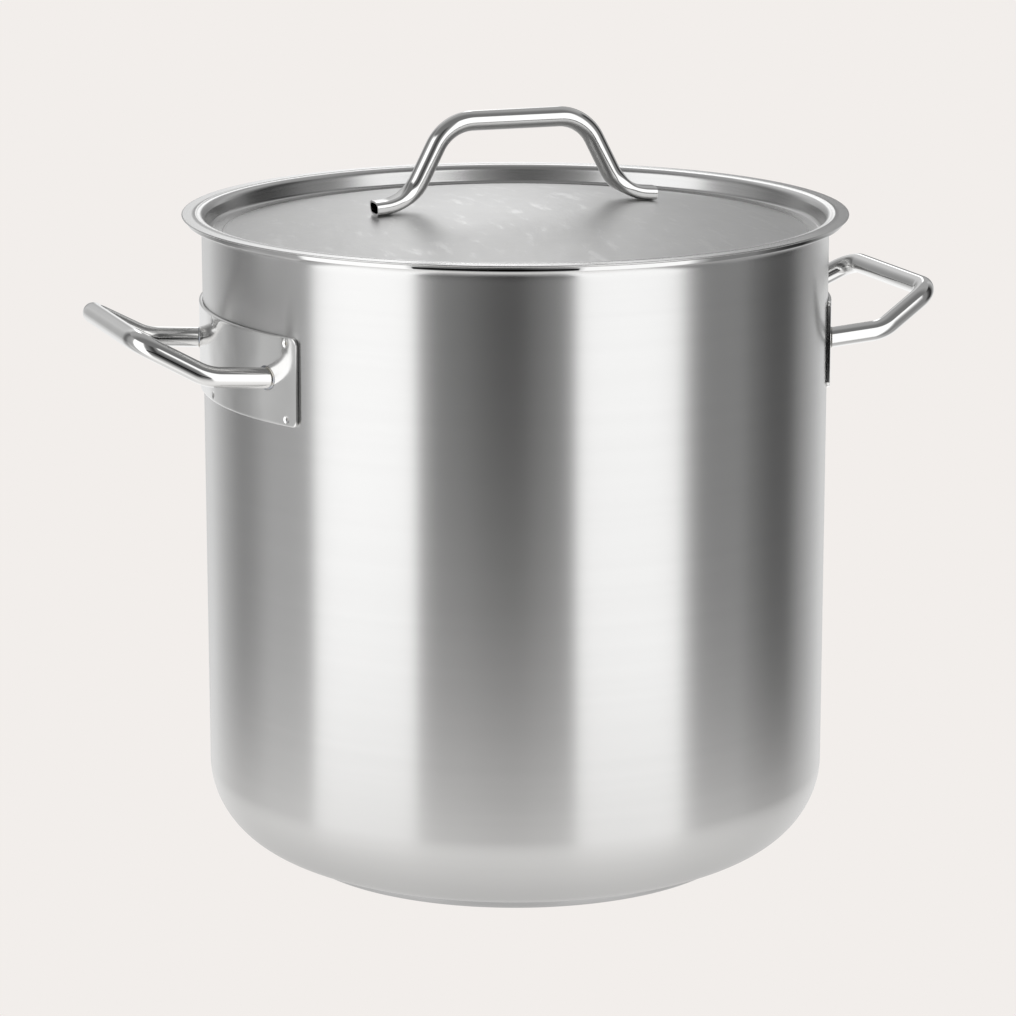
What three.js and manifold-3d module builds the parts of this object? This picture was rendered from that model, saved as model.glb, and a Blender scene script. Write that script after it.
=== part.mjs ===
// Stock pot with a domed, recessed lid, two welded side handles and a sandwich base.
// Millimetres, +Z up. The origin is the centre of the base, on the surface that the pot stands on.
// The side handles point along +X and -X, and the lid handle lies along X too.

import * as THREE from 'three';
import { mergeVertices } from 'three/addons/utils/BufferGeometryUtils.js';
import Module from 'manifold-3d';

const wasm = await Module();
wasm.setup();

// ---------------------------------------------------------------------------------------------
// Driving dimensions
// ---------------------------------------------------------------------------------------------

// Gap kept between two pieces that touch or are welded together.
const CLEARANCE = 0.3;

// Pot shell, drawn from one sheet.
const POT_RADIUS = 200; // outside of the straight wall
const POT_HEIGHT = 417.2; // top of the rim above the table
const POT_WALL = 1.0;
const POT_CORNER_RADIUS = 54; // outside radius between wall and floor
const RIM_FLARE_RADIUS = 8; // inside radius where the wall turns outwards
const RIM_WIDTH = 9.6; // how far the rim stands out from the wall
const RIM_THICKNESS = 3.2; // height of the folded hem

// Sandwich base under the shell.
const BASE_RADIUS = 148;
const BASE_CAP_WALL = 0.8;
const BASE_CORE_THICKNESS = 4.9;

// Lid pan.
const LID_SHEET = 1.0;
const LID_OVERHANG = 2.9; // flange beyond the pot's rim
const LID_SIDE_PLAY = 0.8; // between the lid's wall and the pot's wall
const LID_DEPTH = 12; // flange down to the trough
const LID_WALL_TAPER = 0.2; // inward lean of the wall, as run over drop
const LID_SHOULDER_RADIUS = 5; // flange to wall, on the upper side
const LID_FOOT_RADIUS = 3; // wall to trough, on the upper side
const LID_TROUGH_WIDTH = 6;
const LID_DOME_RISE = 18;

// Lid handle, a bent tube with pressed feet.
const LID_TUBE_RADIUS = 6.4;
const LID_TUBE_WALL = 1.2;
const LID_BAR_HEIGHT = 52.6; // centre of the bar above the crown of the dome
const LID_BAR_SPAN = 92; // between the two upper corners
const LID_FOOT_SPAN = 144; // between the two lower corners
const LID_FOOT_LENGTH = 23; // lower corner to open end
const LID_FOOT_THICKNESS = 9;
const LID_FOOT_PRESSED = 17; // fully pressed length, from the open end
const LID_FOOT_BLEND = 15; // length over which the tube turns from round to pressed
const LID_UPPER_BEND = 28;
const LID_LOWER_BEND = 30;
const LID_WELD_RADIUS = 2.2;
const LID_WELD_HEIGHT = 2;
const LID_WELD_INSET = 9; // from the foot's open end

// Side handles, bent tubes on curved plates.
const HANDLE_DROP = 81.4; // plate centre below the top of the rim
const TUBE_RADIUS = 6.5;
const TUBE_WALL = 1.2;
const LEG_SPAN = 143; // between the two legs, at the plate
const LEG_REACH = 26; // pot wall to the leg's bend
const LEG_RISE = 2.8; // lift of the leg from the plate to its bend
const GRIP_SPAN = 117; // between the grip's corners
const GRIP_REACH = 66; // pot wall to the grip's centre line
const GRIP_RISE = 24.8; // grip above the leg's root
const LEG_BEND = 30;
const GRIP_BEND = 17;
const BEAD_WIDTH = 1.1; // weld bead around each leg
const BEAD_HEIGHT = 1.1;

const PLATE_LENGTH = 200; // along the curve, at the outer face
const PLATE_HEIGHT = 55.5;
const PLATE_THICKNESS = 2;
const PLATE_CORNER = 4;
const SPOT_RADIUS = 1.6; // spot-weld nugget
const SPOT_CLEARANCE = 0.3;
const SPOT_END_INSET = 8.5; // from the plate's short edges
const SPOT_EDGE_INSET = 4.2; // from the plate's long edges
const SPOT_SUNK = 0.2; // nugget below the plate's face

// Fineness of the round shapes.
const ROUND_STEPS = 64;
const TUBE_SIDES = 12;
const BEND_STEPS = 5;
const ARC_STEPS = 4;
const BEAD_SIDES = 16;
const SPOT_SIDES = 12;
const PLATE_COLUMNS = 28;

// ---------------------------------------------------------------------------------------------
// Sizes that follow from the driving ones
// ---------------------------------------------------------------------------------------------

const baseCoreZ = BASE_CAP_WALL + CLEARANCE;
const baseTopZ = baseCoreZ + BASE_CORE_THICKNESS;
const potFloorZ = baseTopZ + CLEARANCE;
const potInnerRadius = POT_RADIUS - POT_WALL;
const rimRadius = POT_RADIUS + RIM_WIDTH;

const lidUnderZ = POT_HEIGHT + CLEARANCE;
const lidTopZ = lidUnderZ + LID_SHEET;
const lidRadius = rimRadius + LID_OVERHANG;
const lidTroughZ = lidTopZ - LID_DEPTH;
const lidWallRadius = potInnerRadius - LID_SIDE_PLAY - LID_SHEET;

const plateInnerRadius = POT_RADIUS + CLEARANCE;
const plateOuterRadius = plateInnerRadius + PLATE_THICKNESS;
const handleZ = POT_HEIGHT - HANDLE_DROP;
const weldedRadius = plateOuterRadius + CLEARANCE;

// ---------------------------------------------------------------------------------------------
// Materials
// ---------------------------------------------------------------------------------------------

const finishes = {
  satinSteel: { color: 0xb9babb, roughness: 0.34, metalness: 1 },
  polishedSteel: { color: 0xc9cacb, roughness: 0.1, metalness: 1 },
  aluminium: { color: 0xc4c6c8, roughness: 0.5, metalness: 1 },
  weld: { color: 0xa5a39f, roughness: 0.42, metalness: 1 },
};

// ---------------------------------------------------------------------------------------------
// Geometry helpers
// ---------------------------------------------------------------------------------------------

// Six times the volume enclosed by a triangle mesh; negative where its faces point inwards.
function signedVolume(position, index) {
  const [a, b, c] = [new THREE.Vector3(), new THREE.Vector3(), new THREE.Vector3()];
  let sum = 0;
  for (let i = 0; i < index.length; i += 3) {
    a.fromBufferAttribute(position, index[i]);
    b.fromBufferAttribute(position, index[i + 1]);
    c.fromBufferAttribute(position, index[i + 2]);
    sum += a.dot(b.cross(c));
  }
  return sum;
}

// One closed body: shared vertices merged, collapsed triangles dropped, faces pointing out.
function closed(geometry) {
  const bare = new THREE.BufferGeometry();
  bare.setAttribute('position', geometry.getAttribute('position'));
  bare.setIndex(geometry.getIndex());
  const merged = mergeVertices(bare, 1e-4);
  const source = merged.getIndex().array;
  const index = [];
  for (let i = 0; i < source.length; i += 3) {
    const [a, b, c] = [source[i], source[i + 1], source[i + 2]];
    if (a !== b && b !== c && c !== a) index.push(a, b, c);
  }
  const position = merged.getAttribute('position');
  if (signedVolume(position, index) < 0) index.reverse();
  merged.setIndex(index);
  merged.computeVertexNormals();
  return merged;
}

function toSolid(geometry) {
  const body = closed(geometry);
  const vertProperties = new Float32Array(body.getAttribute('position').array);
  const triVerts = new Uint32Array(body.getIndex().array);
  return new wasm.Manifold(new wasm.Mesh({ numProp: 3, vertProperties, triVerts }));
}

function fromSolid(solid) {
  const mesh = solid.getMesh();
  const geometry = new THREE.BufferGeometry();
  geometry.setAttribute('position', new THREE.BufferAttribute(mesh.vertProperties, 3));
  geometry.setIndex(new THREE.BufferAttribute(mesh.triVerts, 1));
  return closed(geometry);
}

// A body of revolution about Z from [radius, height] points.
function turned(points, steps = ROUND_STEPS) {
  const profile = points.map(([radius, height]) => new THREE.Vector2(radius, height));
  return new THREE.LatheGeometry(profile, steps).rotateX(Math.PI / 2);
}

// Points on an arc about [cx, cy], from one angle to another, both ends included.
function arc(cx, cy, radius, from, to, steps = ARC_STEPS) {
  const points = [];
  for (let i = 0; i <= steps; i += 1) {
    const angle = from + ((to - from) * i) / steps;
    points.push([cx + radius * Math.cos(angle), cy + radius * Math.sin(angle)]);
  }
  return points;
}

// A round bar between two radii, lying along a direction through a point.
function bar(radius, point, direction, from, to, sides) {
  const axis = direction.clone().normalize();
  const turn = new THREE.Quaternion().setFromUnitVectors(new THREE.Vector3(0, 1, 0), axis);
  const centre = point.clone().addScaledVector(axis, (from + to) / 2);
  const geometry = new THREE.CylinderGeometry(radius, radius, to - from, sides);
  return geometry.applyQuaternion(turn).translate(centre.x, centre.y, centre.z);
}

// A round bar about Z.
function drum(radius, low, high, steps = 2 * ROUND_STEPS) {
  return turned([[0, low], [radius, low], [radius, high], [0, high]], steps);
}

// The centre line of a bent tube: straight runs between corners, each corner rounded by an arc.
// It is sampled only where its shape needs it, so a straight run is a single step.
class BentLine extends THREE.Curve {
  constructor(corners, bends, bendSteps = BEND_STEPS, extra = []) {
    super();
    this.stations = [];
    this.travelled = [];
    this.add(corners[0], corners[1].clone().sub(corners[0]));
    const last = corners.length - 1;
    for (let i = 1; i < last; i += 1) {
      this.bend(corners[i - 1], corners[i], corners[i + 1], bends[i - 1], bendSteps);
    }
    this.add(corners[last], corners[last].clone().sub(corners[last - 1]));
    this.measure();
    extra.forEach((distance) => this.insert(distance));
  }

  add(point, direction) {
    this.stations.push({ point: point.clone(), tangent: direction.clone().normalize() });
  }

  bend(before, corner, after, radius, steps) {
    const inward = corner.clone().sub(before).normalize();
    const outward = after.clone().sub(corner).normalize();
    const turn = inward.angleTo(outward);
    const start = corner.clone().addScaledVector(inward, -radius * Math.tan(turn / 2));
    const towardsCentre = outward.clone().addScaledVector(inward, -Math.cos(turn)).normalize();
    for (let i = 0; i <= steps; i += 1) {
      const angle = (turn * i) / steps;
      const point = start.clone().addScaledVector(inward, radius * Math.sin(angle));
      point.addScaledVector(towardsCentre, radius * (1 - Math.cos(angle)));
      const tangent = inward.clone().multiplyScalar(Math.cos(angle));
      this.add(point, tangent.addScaledVector(towardsCentre, Math.sin(angle)));
    }
  }

  // Distance from the start to each station.
  measure() {
    this.travelled = [0];
    for (let i = 1; i < this.stations.length; i += 1) {
      const step = this.stations[i].point.distanceTo(this.stations[i - 1].point);
      this.travelled.push(this.travelled[i - 1] + step);
    }
    this.length = this.travelled[this.travelled.length - 1];
  }

  // One more station on the run that holds this distance; negative counts from the far end.
  insert(distance) {
    const target = distance < 0 ? this.length + distance : distance;
    const after = this.travelled.findIndex((travelled) => travelled > target);
    const [a, b] = [this.stations[after - 1], this.stations[after]];
    const [from, to] = [this.travelled[after - 1], this.travelled[after]];
    const share = (target - from) / (to - from);
    const point = a.point.clone().lerp(b.point, share);
    const tangent = a.tangent.clone().lerp(b.tangent, share).normalize();
    this.stations.splice(after, 0, { point, tangent });
    this.measure();
  }

  getPoint(t) {
    return this.between(t, 'point');
  }

  getTangent(t) {
    return this.between(t, 'tangent').normalize();
  }

  // The extrusion asks for evenly spaced places; here each of them is a station.
  getPointAt(u) {
    return this.getPoint(u);
  }

  getTangentAt(u) {
    return this.getTangent(u);
  }

  between(t, field) {
    const place = t * (this.stations.length - 1);
    const index = Math.min(Math.floor(place + 1e-9), this.stations.length - 2);
    const [a, b] = [this.stations[index], this.stations[index + 1]];
    return a[field].clone().lerp(b[field], Math.max(0, place - index));
  }
}

function polygon(radius, sides) {
  const lastAngle = (2 * Math.PI * (sides - 1)) / sides;
  return arc(0, 0, radius, 0, lastAngle, sides - 1).map(([x, y]) => new THREE.Vector2(x, y));
}

// A hollow tube along a bent line, open at both ends.
function tube(line, radius, wall) {
  const section = new THREE.Shape(polygon(radius, TUBE_SIDES));
  section.holes.push(new THREE.Path(polygon(radius - wall, TUBE_SIDES)));
  const steps = line.stations.length - 1;
  return new THREE.ExtrudeGeometry(section, { steps, extrudePath: line, bevelEnabled: false });
}

// ---------------------------------------------------------------------------------------------
// Pot shell and base
// ---------------------------------------------------------------------------------------------

// Wall outside, hem, flare and wall inside, as one closed section down to the axis.
function potShell() {
  const cornerR = POT_RADIUS - POT_CORNER_RADIUS;
  const cornerZ = potFloorZ + POT_CORNER_RADIUS;
  const flareR = potInnerRadius + RIM_FLARE_RADIUS;
  const flareZ = POT_HEIGHT - RIM_FLARE_RADIUS;
  const flareOutside = RIM_FLARE_RADIUS - POT_WALL;
  const hemAngle = Math.asin((RIM_FLARE_RADIUS - RIM_THICKNESS) / flareOutside);
  const hemZ = POT_HEIGHT - RIM_THICKNESS / 2;
  const hemR = rimRadius - RIM_THICKNESS / 2;
  const cornerSteps = 2 * ARC_STEPS + 1;
  return turned([
    [0, potFloorZ],
    ...arc(cornerR, cornerZ, POT_CORNER_RADIUS, -Math.PI / 2, 0, cornerSteps),
    ...arc(flareR, flareZ, flareOutside, Math.PI, Math.PI - hemAngle, 2),
    ...arc(hemR, hemZ, RIM_THICKNESS / 2, -Math.PI / 2, Math.PI / 2),
    ...arc(flareR, flareZ, RIM_FLARE_RADIUS, Math.PI / 2, Math.PI),
    ...arc(cornerR, cornerZ, POT_CORNER_RADIUS - POT_WALL, 0, -Math.PI / 2, cornerSteps),
    [0, potFloorZ + POT_WALL],
  ]);
}

// The heat-spreading disc.
function baseCore() {
  return drum(BASE_RADIUS - BASE_CAP_WALL - CLEARANCE, baseCoreZ, baseTopZ, ROUND_STEPS);
}

// The shallow steel cup that wraps the disc from below.
function baseCap() {
  const inside = BASE_RADIUS - BASE_CAP_WALL;
  return turned([
    [0, 0],
    [BASE_RADIUS - BASE_CAP_WALL, 0],
    ...arc(BASE_RADIUS - BASE_CAP_WALL, BASE_CAP_WALL, BASE_CAP_WALL, -Math.PI / 2, 0, 2),
    [BASE_RADIUS, baseTopZ],
    [inside, baseTopZ],
    [inside, BASE_CAP_WALL],
    [0, BASE_CAP_WALL],
  ]);
}

// ---------------------------------------------------------------------------------------------
// Lid
// ---------------------------------------------------------------------------------------------

// Inner corner of the trough: the foot fillet meets the wall at the wall's lean.
const wallLean = Math.atan(LID_WALL_TAPER);
const shoulderR = lidWallRadius + LID_SHOULDER_RADIUS;
const shoulderZ = lidTopZ - LID_SHOULDER_RADIUS;
const wallTop = {
  r: shoulderR - LID_SHOULDER_RADIUS * Math.cos(wallLean),
  z: shoulderZ + LID_SHOULDER_RADIUS * Math.sin(wallLean),
};
const footZ = lidTroughZ + LID_FOOT_RADIUS;
const wallDrop = wallTop.z - (footZ - LID_FOOT_RADIUS * Math.sin(wallLean));
const footR = wallTop.r - wallDrop * LID_WALL_TAPER - LID_FOOT_RADIUS * Math.cos(wallLean);
const domeRadius = footR - LID_TROUGH_WIDTH;

function domeZ(radius) {
  return lidTroughZ + LID_DOME_RISE * (1 - (radius / domeRadius) ** 2);
}

// The upper side of the sheet, from the crown out to the flange's edge.
function lidUpperSide() {
  const dome = [];
  const domeSteps = 6;
  for (let i = 0; i <= domeSteps; i += 1) {
    const radius = (domeRadius * i) / domeSteps;
    dome.push([radius, domeZ(radius)]);
  }
  return [
    ...dome,
    ...arc(footR, footZ, LID_FOOT_RADIUS, -Math.PI / 2, -wallLean, 3),
    ...arc(shoulderR, shoulderZ, LID_SHOULDER_RADIUS, Math.PI - wallLean, Math.PI / 2),
    [lidRadius, lidTopZ],
  ];
}

// The same line moved one sheet thickness to its lower side.
function offsetDown(points, distance) {
  return points.map(([r, z], i) => {
    const [r0, z0] = points[Math.max(i - 1, 0)];
    const [r1, z1] = points[Math.min(i + 1, points.length - 1)];
    const span = Math.hypot(r1 - r0, z1 - z0);
    const moved = [r + (distance * (z1 - z0)) / span, z - (distance * (r1 - r0)) / span];
    return i === 0 ? [0, z - distance] : moved;
  });
}

function lidPan() {
  const upper = lidUpperSide();
  return turned([...upper, ...offsetDown(upper, LID_SHEET).reverse()]);
}

// ---------------------------------------------------------------------------------------------
// Lid handle
// ---------------------------------------------------------------------------------------------

// The pressed foot lies on the dome: a line that touches it halfway along the foot.
const footMiddle = LID_FOOT_SPAN / 2 + LID_FOOT_LENGTH / 2;
const footSlope = (-2 * LID_DOME_RISE * footMiddle) / domeRadius ** 2;
const footTilt = Math.atan(footSlope);

function footLineZ(x, lift) {
  return domeZ(footMiddle) + lift / Math.cos(footTilt) + footSlope * (x - footMiddle);
}

function lidHandleLine() {
  const lift = CLEARANCE + LID_FOOT_THICKNESS / 2;
  const lower = LID_FOOT_SPAN / 2;
  const end = lower + LID_FOOT_LENGTH * Math.cos(footTilt);
  const barZ = domeZ(0) + LID_BAR_HEIGHT;
  const half = [[end, footLineZ(end, lift)], [lower, footLineZ(lower, lift)], [LID_BAR_SPAN / 2, barZ]];
  const corners = [
    ...half.map(([x, z]) => new THREE.Vector3(-x, 0, z)),
    ...half.reverse().map(([x, z]) => new THREE.Vector3(x, 0, z)),
  ];
  const bends = [LID_LOWER_BEND, LID_UPPER_BEND, LID_UPPER_BEND, LID_LOWER_BEND];
  return new BentLine(corners, bends, BEND_STEPS + 1, [LID_FOOT_PRESSED / 2, -LID_FOOT_PRESSED / 2]);
}

// How far a station is pressed: 1 near the open end, 0 where the tube is still round.
function pressed(distanceFromEnd) {
  const roundFrom = LID_FOOT_PRESSED + LID_FOOT_BLEND;
  return 1 - THREE.MathUtils.smoothstep(distanceFromEnd, LID_FOOT_PRESSED, roundFrom);
}

// How quickly the pressed section's round edges give way to its flat faces.
const FLATTENING = 1.5;

// Moves every vertex of the round tube to the pressed section of its station.
function pressFeet(geometry, line) {
  const across = new THREE.Vector3(0, 1, 0);
  const position = geometry.getAttribute('position');
  const vertex = new THREE.Vector3();
  const offset = new THREE.Vector3();
  const stretch = (Math.PI / 2) * (LID_TUBE_RADIUS - LID_FOOT_THICKNESS / 2);
  for (let i = 0; i < position.count; i += 1) {
    vertex.fromBufferAttribute(position, i);
    const station = line.stations.findIndex(({ point, tangent }) => {
      offset.copy(vertex).sub(point);
      return offset.length() < LID_TUBE_RADIUS + CLEARANCE && Math.abs(offset.dot(tangent)) < 1e-3;
    });
    const { point, tangent } = line.stations[station];
    offset.copy(vertex).sub(point);
    const travelled = line.travelled[station];
    const amount = pressed(Math.min(travelled, line.length - travelled));
    const up = new THREE.Vector3().crossVectors(tangent, across).normalize();
    const radius = offset.length();
    const depth = radius - LID_TUBE_RADIUS;
    const [side, rise] = [offset.dot(across) / radius, offset.dot(up) / radius];
    const flatRadius = LID_FOOT_THICKNESS / 2 + depth;
    const flatSide = flatRadius * side + stretch * THREE.MathUtils.clamp(FLATTENING * side, -1, 1);
    const newSide = THREE.MathUtils.lerp(radius * side, flatSide, amount);
    const newRise = THREE.MathUtils.lerp(radius * rise, flatRadius * rise, amount);
    vertex.copy(point).addScaledVector(across, newSide).addScaledVector(up, newRise);
    position.setXYZ(i, vertex.x, vertex.y, vertex.z);
  }
  return geometry;
}

// Where a foot's weld stands, on the dome, and which way it points.
function lidWeldSeat(side) {
  const x = footMiddle + (LID_FOOT_LENGTH / 2 - LID_WELD_INSET) * Math.cos(footTilt);
  const normal = new THREE.Vector3(-side * Math.sin(footTilt), 0, Math.cos(footTilt));
  return { point: new THREE.Vector3(side * x, 0, footLineZ(x, 0)), normal };
}

function lidHandle() {
  const line = lidHandleLine();
  let solid = toSolid(pressFeet(tube(line, LID_TUBE_RADIUS, LID_TUBE_WALL), line));
  for (const side of [-1, 1]) {
    const { point, normal } = lidWeldSeat(side);
    const holeTop = CLEARANCE + LID_FOOT_THICKNESS / 2;
    const hole = bar(LID_WELD_RADIUS + CLEARANCE, point, normal, -1, holeTop, BEAD_SIDES);
    solid = solid.subtract(toSolid(hole));
  }
  return fromSolid(solid);
}

function lidWeld(side) {
  const { point, normal } = lidWeldSeat(side);
  return bar(LID_WELD_RADIUS, point, normal, CLEARANCE, CLEARANCE + LID_WELD_HEIGHT, BEAD_SIDES);
}

// ---------------------------------------------------------------------------------------------
// Side handles, modelled on the +X side; the other side is the same turned half round
// ---------------------------------------------------------------------------------------------

const plateHalfAngle = PLATE_LENGTH / 2 / plateOuterRadius;

// Places of the spot welds on the plate, as [angle, height above the plate's centre].
function spotPlaces() {
  const end = (PLATE_LENGTH / 2 - SPOT_END_INSET) / plateOuterRadius;
  const edge = PLATE_HEIGHT / 2 - SPOT_EDGE_INSET;
  return [-end, 0, end].flatMap((angle) => [[angle, -edge], [angle, edge]]);
}

function spotBar([angle, height], radius, from, to) {
  const centre = new THREE.Vector3(0, 0, handleZ + height);
  const outward = new THREE.Vector3(Math.cos(angle), Math.sin(angle), 0);
  return bar(radius, centre, outward, from, to, SPOT_SIDES);
}

// A flat block with rounded corners, curved around the pot, with a hole for each spot weld.
function handlePlate() {
  const block = new THREE.BoxGeometry(2, 1, 1, PLATE_COLUMNS, 1, 1);
  const position = block.getAttribute('position');
  const halfLength = PLATE_LENGTH / 2;
  for (let i = 0; i < position.count; i += 1) {
    const along = Math.sin((position.getX(i) * Math.PI) / 2) * halfLength;
    const intoCorner = Math.max(0, Math.abs(along) - (halfLength - PLATE_CORNER));
    const cut = PLATE_CORNER - Math.sqrt(Math.max(0, PLATE_CORNER ** 2 - intoCorner ** 2));
    const radius = position.getY(i) > 0 ? plateOuterRadius : plateInnerRadius;
    const height = 2 * position.getZ(i) * (PLATE_HEIGHT / 2 - cut);
    const angle = along / plateOuterRadius;
    position.setXYZ(i, radius * Math.cos(angle), radius * Math.sin(angle), handleZ + height);
  }
  let plate = toSolid(block);
  for (const place of spotPlaces()) {
    const hole = spotBar(place, SPOT_RADIUS + SPOT_CLEARANCE, plateInnerRadius - 2, plateOuterRadius + 2);
    plate = plate.subtract(toSolid(hole));
  }
  return fromSolid(plate);
}

function spotWeld(place) {
  return spotBar(place, SPOT_RADIUS, plateInnerRadius, plateOuterRadius - SPOT_SUNK);
}

// The leg's root on the plate and its direction, for the leg on the +Y or -Y side.
const rootReach = Math.sqrt(plateOuterRadius ** 2 - (LEG_SPAN / 2) ** 2);
const legRun = POT_RADIUS + LEG_REACH - rootReach;

function legRoot(side) {
  const point = new THREE.Vector3(rootReach, (side * LEG_SPAN) / 2, handleZ);
  const direction = new THREE.Vector3(legRun, 0, LEG_RISE).normalize();
  return { point, direction };
}

// The tube starts inside the pot's wall, and is cut back to the plate's curve.
function handleTube() {
  const insideWall = 2 * TUBE_RADIUS;
  const half = (side) => {
    const { point, direction } = legRoot(side);
    return [
      point.clone().addScaledVector(direction, -insideWall),
      new THREE.Vector3(POT_RADIUS + LEG_REACH, (side * LEG_SPAN) / 2, handleZ + LEG_RISE),
      new THREE.Vector3(POT_RADIUS + GRIP_REACH, (side * GRIP_SPAN) / 2, handleZ + GRIP_RISE),
    ];
  };
  const corners = [...half(-1), ...half(1).reverse()];
  const line = new BentLine(corners, [LEG_BEND, GRIP_BEND, GRIP_BEND, LEG_BEND]);
  const cutter = drum(weldedRadius, handleZ - PLATE_HEIGHT, handleZ + PLATE_HEIGHT);
  return fromSolid(toSolid(tube(line, TUBE_RADIUS, TUBE_WALL)).subtract(toSolid(cutter)));
}

// A weld bead: a sleeve around the leg, as thick as the bead is high above the plate.
function weldBead(side) {
  const { point, direction } = legRoot(side);
  const boreRadius = TUBE_RADIUS + CLEARANCE;
  const reach = 3 * TUBE_RADIUS;
  const outside = toSolid(bar(boreRadius + BEAD_WIDTH, point, direction, -reach, reach, BEAD_SIDES));
  const inside = toSolid(bar(boreRadius, point, direction, -2 * reach, 2 * reach, BEAD_SIDES));
  const low = handleZ - PLATE_HEIGHT;
  const high = handleZ + PLATE_HEIGHT;
  const layer = toSolid(drum(weldedRadius + BEAD_HEIGHT, low, high));
  const plateSide = toSolid(drum(weldedRadius, low, high));
  return fromSolid(outside.intersect(layer).subtract(plateSide).subtract(inside));
}

// ---------------------------------------------------------------------------------------------
// Assembly
// ---------------------------------------------------------------------------------------------

function piece(name, geometry, finish) {
  const mesh = new THREE.Mesh(closed(geometry), new THREE.MeshStandardMaterial(finish));
  mesh.name = name;
  return mesh;
}

function sideHandle(prefix) {
  const group = new THREE.Group();
  group.add(piece(`${prefix}_handle_plate`, handlePlate(), finishes.polishedSteel));
  group.add(piece(`${prefix}_handle_tube`, handleTube(), finishes.polishedSteel));
  group.add(piece(`${prefix}_weld_bead_1`, weldBead(-1), finishes.weld));
  group.add(piece(`${prefix}_weld_bead_2`, weldBead(1), finishes.weld));
  spotPlaces().forEach((place, i) => {
    group.add(piece(`${prefix}_spot_weld_${i + 1}`, spotWeld(place), finishes.weld));
  });
  return group;
}

const pot = new THREE.Group();
pot.add(piece('pot_shell', potShell(), finishes.satinSteel));
pot.add(piece('base_core', baseCore(), finishes.aluminium));
pot.add(piece('base_cap', baseCap(), finishes.satinSteel));
pot.add(sideHandle('right'));
const leftHandle = sideHandle('left');
leftHandle.rotation.z = Math.PI;
pot.add(leftHandle);

const lid = new THREE.Group();
lid.add(piece('lid_pan', lidPan(), finishes.satinSteel));
lid.add(piece('lid_handle', lidHandle(), finishes.polishedSteel));
lid.add(piece('lid_weld_left', lidWeld(-1), finishes.weld));
lid.add(piece('lid_weld_right', lidWeld(1), finishes.weld));

const stockPot = new THREE.Group();
stockPot.add(pot, lid);

export default stockPot;
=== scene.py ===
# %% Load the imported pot
from math import asin, atan, cos, hypot, pi, radians, sin, sqrt

import bpy
import numpy as np
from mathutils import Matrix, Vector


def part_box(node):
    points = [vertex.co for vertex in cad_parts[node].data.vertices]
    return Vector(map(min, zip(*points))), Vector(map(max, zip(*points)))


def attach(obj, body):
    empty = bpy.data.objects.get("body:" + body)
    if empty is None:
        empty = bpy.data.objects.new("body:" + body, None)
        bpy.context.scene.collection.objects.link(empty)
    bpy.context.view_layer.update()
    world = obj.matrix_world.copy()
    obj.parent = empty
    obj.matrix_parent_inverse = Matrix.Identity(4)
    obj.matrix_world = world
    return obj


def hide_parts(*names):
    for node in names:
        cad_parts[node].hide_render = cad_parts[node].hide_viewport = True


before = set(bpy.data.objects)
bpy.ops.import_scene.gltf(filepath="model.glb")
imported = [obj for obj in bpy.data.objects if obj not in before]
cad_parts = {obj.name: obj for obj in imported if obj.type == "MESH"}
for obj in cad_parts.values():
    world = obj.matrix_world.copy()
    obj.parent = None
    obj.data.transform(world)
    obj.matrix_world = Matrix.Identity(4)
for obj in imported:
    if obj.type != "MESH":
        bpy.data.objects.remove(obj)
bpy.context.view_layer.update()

# %% [markdown]
# # A stock pot in brushed and polished steel
# The engineering model gives plain, faceted solids with the right sizes and places. Here each
# piece that shows gets a smooth skin that follows the same sizes, and a finish. Everything is
# in metres, so sizes in millimetres are multiplied by MM once, where they are named.

# %% Sizes
MM = 0.001

shell_low, shell_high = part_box("pot_shell")
cap_low, cap_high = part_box("base_cap")
lid_low, lid_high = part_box("lid_pan")
plate_low, plate_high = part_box("right_handle_plate")

rim_radius, rim_top = shell_high.x, shell_high.z
shell_bottom = shell_low.z
base_radius, base_top = cap_high.x, cap_high.z
lid_radius, lid_crown = lid_high.x, lid_high.z

POT_WALL = 1.0 * MM
RIM_WIDTH = 9.6 * MM
RIM_THICKNESS = 3.2 * MM
RIM_FLARE = 8 * MM
POT_CORNER = 54 * MM
pot_radius = rim_radius - RIM_WIDTH
print(f"pot {2 * pot_radius:.3f} across, {rim_top:.3f} high, lid {2 * lid_radius:.3f} across")

# %% [markdown]
# ## Drawing a profile
# A pot, its base and its lid are turned shapes: one outline, spun about the upright axis. An
# outline here is an array of (radius, height) points. Straight runs need few points, and round
# stretches are arcs, so `arc` and `join` are all that is needed to write one down.

# %% Profile helpers
def arc(centre, radius, start, end, count):
    """Points on a circle: centre + radius * (cos a, sin a), with a spread from start to end."""
    a = np.linspace(start, end, count)
    return np.stack([centre[0] + radius * np.cos(a), centre[1] + radius * np.sin(a)], axis=1)


def run(start, end, count):
    """Points spread evenly on the straight line from start to end, both included."""
    t = np.linspace(0, 1, count)[:, None]
    return (1 - t) * np.array(start, float) + t * np.array(end, float)


def join(*parts):
    """One outline from several, leaving out a point that repeats the one before it."""
    points = np.concatenate([np.atleast_2d(np.array(p, float)) for p in parts])
    step = np.linalg.norm(np.diff(points, axis=0), axis=1)
    return points[np.concatenate([[True], step > 1e-7])]


# %% [markdown]
# ## From arrays to a mesh
# Every piece ends as one grid of points or a few of them. A grid has rows and columns, each of
# which may close on itself, and its faces are the squares between neighbours. The points and
# the faces are built as whole arrays and handed to Blender in one go.
#
# `set_sharp_from_angle` keeps real edges crisp while the rest is shaded smooth.

# %% Mesh helpers
SHARP = radians(38)


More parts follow.
